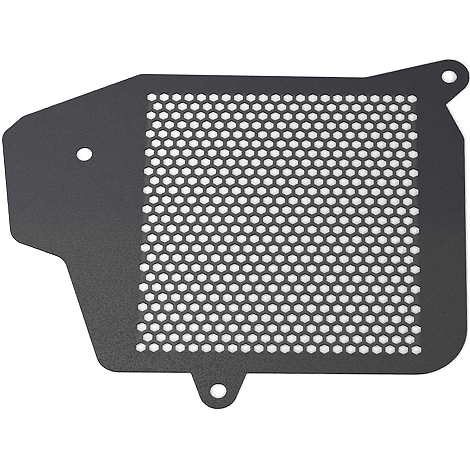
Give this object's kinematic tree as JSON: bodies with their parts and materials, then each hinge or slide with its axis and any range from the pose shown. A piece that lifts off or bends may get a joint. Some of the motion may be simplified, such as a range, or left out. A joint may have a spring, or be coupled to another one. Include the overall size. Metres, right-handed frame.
{
  "type": "motorcycle radiator guard",
  "caption": "Flat black-coated steel guard plate with a honeycomb of hexagonal openings, a side wing and bolt lugs, for covering a radiator.",
  "frame": {"origin": "centre of the upper bolt hole, on the sheet's rear face", "axes": "+X along the sheet's length, away from the wing; +Y up the sheet as fitted; +Z out of its front face"},
  "size_m": [0.2628, 0.2197, 0.001],
  "materials": {
    "powder_coat": "matte black powder coat with a fine grain"
  },
  "bodies": {
    "root": {"guard_plate": "powder_coat"}
  },
  "joints": []
}
